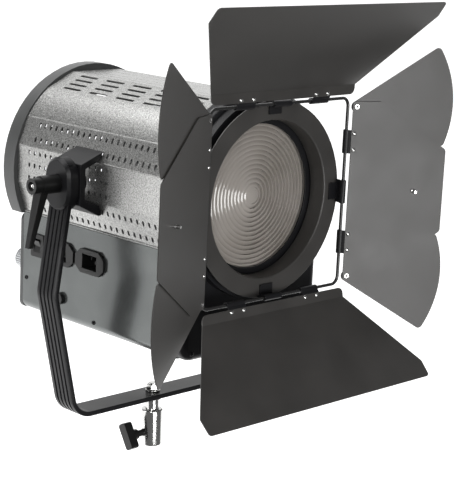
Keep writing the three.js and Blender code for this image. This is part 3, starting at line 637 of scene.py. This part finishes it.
phosphor, tree, shader, place = new_finish("led_phosphor", (0.80, 0.56, 0.10), 0.5)
tinted(tree, span(tree, grain(tree, place, 300), 0, 1), (0.70, 0.46, 0.06), (0.85, 0.62, 0.14), shader)
break_edges("led_module", 0.3 * MM, phosphor)


def pan_screw(name, place, axis, radius, material):
    """Pan head with a socket, seated on the sheet."""
    steps = [(0, 0), (1, 0), (1, 0.25), (0.9, 0.48), (0.6, 0.62), (0.42, 0.66), (0.38, 0.30), (0, 0.26)]
    profile = [(away * radius, height * radius) for away, height in steps]
    add_piece(name, turned_mesh(name, profile, place, axis, 18), material, "head")


box_low, box_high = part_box("driver_box")
panel_face = LENS_AXIS.y + 28 * MM
for name, side, face_x in (("left", -1, box_low.x), ("right", 1, box_high.x)):
    for number, (behind, below) in enumerate(((293, 129), (172, 155), (62, 72), (62, 150))):
        spot = (face_x, LENS_AXIS.y + behind * MM, LENS_AXIS.z - below * MM)
        pan_screw(f"{name}_box_screw_{number + 1}", spot, (side, 0, 0), 2.4 * MM, black_coat)
    pan_screw(name + "_nose_screw", (side * 86 * MM, panel_face, LENS_AXIS.z - 157 * MM), (0, -1, 0),
              2.6 * MM, black_coat)

# ------------------------------------------------------------------ lens
# A disc of pressed borosilicate. Its face is a set of prism rings round a low crown, each one
# a slice of a deep lens; the back is flat and stippled, so that the light behind is softened.


def pressed_glass():
    material, tree, shader, place = new_finish("pressed_glass", (0.44, 0.41, 0.375), 0.12)
    clouds = span(tree, grain(tree, place, 14, 2), 0, 1)
    tinted(tree, clouds, (0.30, 0.272, 0.243), (0.43, 0.40, 0.37), shader)
    shader.inputs["Transmission Weight"].default_value = 0.30
    shader.inputs["IOR"].default_value = 1.5
    shader.inputs["Specular IOR Level"].default_value = 0.9
    bumped(tree, grain(tree, place, 420, 3), 0.00010, shader)
    return material


lens_low, lens_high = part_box("fresnel_lens")
LENS_R = (lens_high.x - lens_low.x) / 2
LENS_THICK = lens_high.y - lens_low.y
CROWN_R = 9 * MM
RING_COUNT = 14
RING_RISE = 3.0 * MM
RIM_R = 78.5 * MM


def lens_profile():
    """Radius and height above the flat back, from the middle outwards."""
    profile = [(0, LENS_THICK)]
    for step in range(1, 6):
        part = step / 5
        profile.append((CROWN_R * part, LENS_THICK - 1.6 * MM * part ** 2))
    for ring in range(RING_COUNT):
        inner = CROWN_R + (RIM_R - CROWN_R) * ring / RING_COUNT
        pitch = (RIM_R - CROWN_R) / RING_COUNT
        for step in range(6):
            part = step / 5
            away = 0.25 * MM if step == 0 else 0
            rise = RING_RISE * (0.10 * (1 - part) ** 3 + part ** 1.7)
            profile.append((inner + pitch * part + away, LENS_THICK - rise))
    profile += [(LENS_R - 0.5 * MM, LENS_THICK - RING_RISE), (LENS_R, LENS_THICK - RING_RISE - 0.5 * MM),
                (LENS_R, 0), (0, 0)]
    return profile


lens_mesh = turned_mesh("ringed_lens", lens_profile(), (0, lens_high.y, LENS_AXIS.z), (0, -1, 0), 128, 34)
add_piece("ringed_lens", lens_mesh, pressed_glass(), "head", ["fresnel_lens"])

# ------------------------------------------------------------------ mains fittings and controls
# Moulded connectors snap into the tray's left side beside the power switch and a fuse. The
# dimmer knob is turned aluminium, and the focus knob is nylon.

for fitting in ("power_inlet", "power_outlet", "fuse_holder", "rocker_bezel", "power_rocker"):
    break_edges(fitting, 0.4 * MM, nylon)
break_edges("dimmer_knob", 0.3 * MM, turned)
break_edges("focus_knob", 0.4 * MM, nylon)

# ------------------------------------------------------------------ barn door ring and wire
# A spun ring turns in the nose and carries a square of bright-black wire on four straps.

door_coat = powder_coat("door_powder_coat", (0.027, 0.0255, 0.024), (0.036, 0.034, 0.032), 0.40,
                        specular=0.45)
break_edges("barn_ring", 0.35 * MM, door_coat)
for side in ("top", "right", "bottom", "left"):
    break_edges("strap_" + side, 0.25 * MM, black_coat)

wire_low, wire_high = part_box("wire_frame")
WIRE_R = (wire_high.y - wire_low.y) / 2
WIRE_HALF = wire_high.x - WIRE_R
WIRE_BEND = 9 * MM


def wire_mesh():
    """A round wire swept round a square with bent corners."""
    path = []
    for quarter in range(4):
        start = math.pi / 2 * quarter
        centre = Vector((WIRE_HALF - WIRE_BEND, WIRE_HALF - WIRE_BEND))
        centre.rotate(Matrix.Rotation(start, 2))
        for step in range(11):
            angle = start + math.pi / 2 * step / 10
            path.append((centre + Vector((math.cos(angle), math.sin(angle))) * WIRE_BEND, angle))
    verts, faces = [], []
    sides = 14
    for point, angle in path:
        out = Vector((math.cos(angle), math.sin(angle)))
        for k in range(sides):
            turn = 2 * math.pi * k / sides
            spot = point + out * math.cos(turn) * WIRE_R
            verts.append((spot.x, LENS_AXIS.y + math.sin(turn) * WIRE_R, LENS_AXIS.z + spot.y))
    for i in range(len(path)):
        ahead = (i + 1) % len(path)
        for k in range(sides):
            faces.append((i * sides + k, i * sides + (k + 1) % sides,
                          ahead * sides + (k + 1) % sides, ahead * sides + k))
    return solid_mesh("square_wire", verts, faces)


wire_coat = powder_coat("wire_black", (0.012, 0.012, 0.012), (0.018, 0.018, 0.018), 0.24)
add_piece("square_wire", wire_mesh(), wire_coat, "barn_frame", ["wire_frame"])

# ------------------------------------------------------------------ barn doors
# Four leaves of folded sheet, powder coated charcoal. Each hangs on the wire by two black
# clips, riveted through its lip, and the side leaves carry two ears that swing out.

DOOR_SHEET = 1.2 * MM
DOOR_FRONT = -3.8 * MM
LIP_TOP = 15.4 * MM
CLIP_AT = 55 * MM
CLIP_HALF = 12.7 * MM
FOLD_R = 3 * MM
leaf_turns = {"top": (0, 0, 36.75), "bottom": (180, 8, 36.75), "left": (-90, 23, 0), "right": (90, 25.4, 0)}
leaf_places = {}
for side, (round_axis, lean, _) in leaf_turns.items():
    origin = Matrix.Translation(joints[side + "_leaf_hinge"]["pos_m"])
    turn = Matrix.Rotation(math.radians(round_axis), 4, "Y") @ Matrix.Rotation(math.radians(lean), 4, "X")
    leaf_places[side] = origin @ turn


def rounded_outline(points, steps=5):
    """A polygon of (a, b, radius) with each corner turned to its radius."""
    outline = []
    for i, (a, b, radius) in enumerate(points):
        corner = Vector((a, b))
        if radius == 0:
            outline.append(tuple(corner))
            continue
        before = Vector(points[i - 1][:2])
        after = Vector(points[(i + 1) % len(points)][:2])
        outline += [tuple(p) for p in rounded_chain([before, corner, after], radius, steps)[1:-1]]
    return outline


def in_leaf(side):
    """Places (depth, up, along) of a leaf's own frame in the row frame."""
    matrix = leaf_places[side]

    def place(depth, up, along):
        return matrix @ Vector((along, depth, up))
    return place


def soften(piece, width, degrees=50):
    bevel = piece.modifiers.new("broken_edge", "BEVEL")
    bevel.width = width
    bevel.segments = 2
    bevel.limit_method = "ANGLE"
    bevel.angle_limit = math.radians(degrees)


def mm_points(points):
    return [tuple(value * MM for value in point) for point in points]


def wide_leaf(side):
    """Lip and flap with one fold; the flat pattern runs from the wire outwards."""
    lean = math.radians(leaf_turns[side][2])
    reach = 114 * MM
    lip_low = 4.5 * MM
    top = Vector((DOOR_FRONT, LIP_TOP))
    end = top + Vector((-math.sin(lean), math.cos(lean))) * reach
    chain = rounded_chain([(DOOR_FRONT, lip_low), tuple(top), tuple(end)], FOLD_R, 4)
    length = sum((b - a).length for a, b in zip(chain, chain[1:]))
    fold = LIP_TOP - lip_low
    half = [(0, 105.6 * MM, 7 * MM), (fold, 105.6 * MM, 0), (fold + 95 * MM, 167.3 * MM, 5 * MM),
            (length, 166.0 * MM, 4 * MM)]
    outline = rounded_outline(half + [(a, -b, radius) for a, b, radius in reversed(half)])
    mesh = punched_sheet(side + "_leaf", outline, [], chain, -DOOR_SHEET, in_leaf(side))
    piece = add_piece(side + "_leaf_sheet", mesh, door_coat, side + "_leaf", ["door_" + side])
    soften(piece, 0.25 * MM)


def narrow_leaf(side):
    low = 4.2 * MM
    chain = [(DOOR_FRONT, low), (DOOR_FRONT, 117.5 * MM)]
    half = mm_points([(0, 98.5, 3), (37 - 4.2, 98.5, 6), (117.5 - 4.2, 45.7, 5)])
    outline = rounded_outline(half + [(a, -b, radius) for a, b, radius in reversed(half)])
    mesh = punched_sheet(side + "_leaf", outline, [], chain, -DOOR_SHEET, in_leaf(side))
    piece = add_piece(side + "_leaf_sheet", mesh, door_coat, side + "_leaf", ["door_" + side])
    soften(piece, 0.25 * MM)
    stud = mm_points([(0, 0), (2.6, 0), (2.6, 1.6), (1.9, 2.0), (1.9, 6.2), (1.5, 6.8), (0, 6.8)])
    spot = leaf_places[side] @ Vector((0, DOOR_FRONT, 82 * MM))
    axis = leaf_places[side].to_3x3() @ Vector((0, -1, 0))
    add_piece(side + "_leaf_stud", turned_mesh(side + "_leaf_stud", stud, spot, axis, 20), chrome,
              side + "_leaf")


def leaf_clips(side):
    """Two black clips that curl round the wire, each with two bright domed rivets."""
    plate = -4.9 * MM
    curl = 3.4 * MM
    chain = [(plate, 12.4 * MM), (plate, 4.6 * MM), (-4.5 * MM, 3.2 * MM)]
    for turn in range(160, 421, 20):
        angle = math.radians(turn)
        chain.append((curl * math.cos(angle), curl * math.sin(angle)))
    length = sum(math.dist(a, b) for a, b in zip(chain, chain[1:]))
    dome = mm_points([(0, -0.4), (2.3, -0.4), (2.3, 0.2), (1.9, 0.8), (1.1, 1.2), (0, 1.35)])
    axis = leaf_places[side].to_3x3() @ Vector((0, -1, 0))
    for number, middle in enumerate((-CLIP_AT, CLIP_AT)):
        outline = rounded_outline([(0, middle + CLIP_HALF, 3 * MM), (length, middle + CLIP_HALF, 0),
                                   (length, middle - CLIP_HALF, 0), (0, middle - CLIP_HALF, 3 * MM)])
        name = f"{side}_clip_{number + 1}"
        mesh = punched_sheet(name, outline, [], chain, -1.0 * MM, in_leaf(side), 30)
        soften(add_piece(name, mesh, black_coat, side + "_leaf"), 0.2 * MM)
        for end in (-1, 1):
            spot = leaf_places[side] @ Vector((middle + end * 8.8 * MM, plate, 7.5 * MM))
            rivet = f"{side}_rivet_{number * 2 + (end + 1) // 2 + 1}"
            mesh = turned_mesh(rivet, dome, spot, axis, 20)
            add_piece(rivet, mesh, chrome, side + "_leaf")


EAR_R = 114 * MM
EAR_HUB = 6 * MM
EAR_PLANE = -2.3 * MM


def ear_outline(way):
    """A sector with a round hub at the rivet and round outer corners."""
    outer, inner = math.radians(32), math.radians(-20)
    reach = math.sqrt(EAR_R ** 2 - EAR_HUB ** 2)

    def tip(angle, sign):
        along = Vector((math.sin(angle), math.cos(angle)))
        across = Vector((math.cos(angle), -math.sin(angle)))
        return along * reach + across * EAR_HUB * sign

    first, last = tip(outer, 1), tip(inner, -1)
    start, end = math.atan2(first.x, first.y), math.atan2(last.x, last.y)
    points = [(first.x, first.y, 5 * MM)]
    for step in range(1, 20):
        angle = start + (end - start) * step / 20
        points.append((EAR_R * math.sin(angle), EAR_R * math.cos(angle), 0))
    points.append((last.x, last.y, 4 * MM))
    for step in range(13):
        angle = inner - math.pi / 2 - (math.pi - (outer - inner)) * step / 12
        points.append((EAR_HUB * math.sin(angle), EAR_HUB * math.cos(angle), 0))
    return [(b, way * a) for a, b in rounded_outline(points)]


def leaf_ear(side, end, way):
    name = f"{side}_{end}_ear"
    at_along, at_up = way * 93 * MM, 9 * MM
    outline = [(up + at_up, along + at_along) for up, along in ear_outline(way)]
    low = min(up for up, _ in outline)
    outline = [(up - low, along) for up, along in outline]
    chain = [(EAR_PLANE, low), (EAR_PLANE, low + max(up for up, _ in outline))]
    mesh = punched_sheet(name, outline, [], chain, -1.0 * MM, in_leaf(side))
    soften(add_piece(name + "_sheet", mesh, door_coat, name, [f"ear_{side}_{end}"]), 0.2 * MM)
    head = mm_points([(0, -2.0), (1.4, -2.0), (1.4, 0), (2.8, 0), (2.9, 0.6), (2.4, 1.1), (1.5, 1.15),
                      (1.0, 0.5), (0, 0.45)])
    axis = leaf_places[side].to_3x3() @ Vector((0, -1, 0))
    spot = leaf_places[side] @ Vector((at_along, DOOR_FRONT - 0.1 * MM, at_up))
    mesh = turned_mesh(name + "_rivet", head, spot, axis, 22)
    add_piece(name + "_rivet", mesh, chrome, name)


for side in ("top", "bottom"):
    wide_leaf(side)
    leaf_clips(side)
for side, turn in (("left", -1), ("right", 1)):
    narrow_leaf(side)
    leaf_clips(side)
    leaf_ear(side, "upper", -turn)
    leaf_ear(side, "lower", turn)
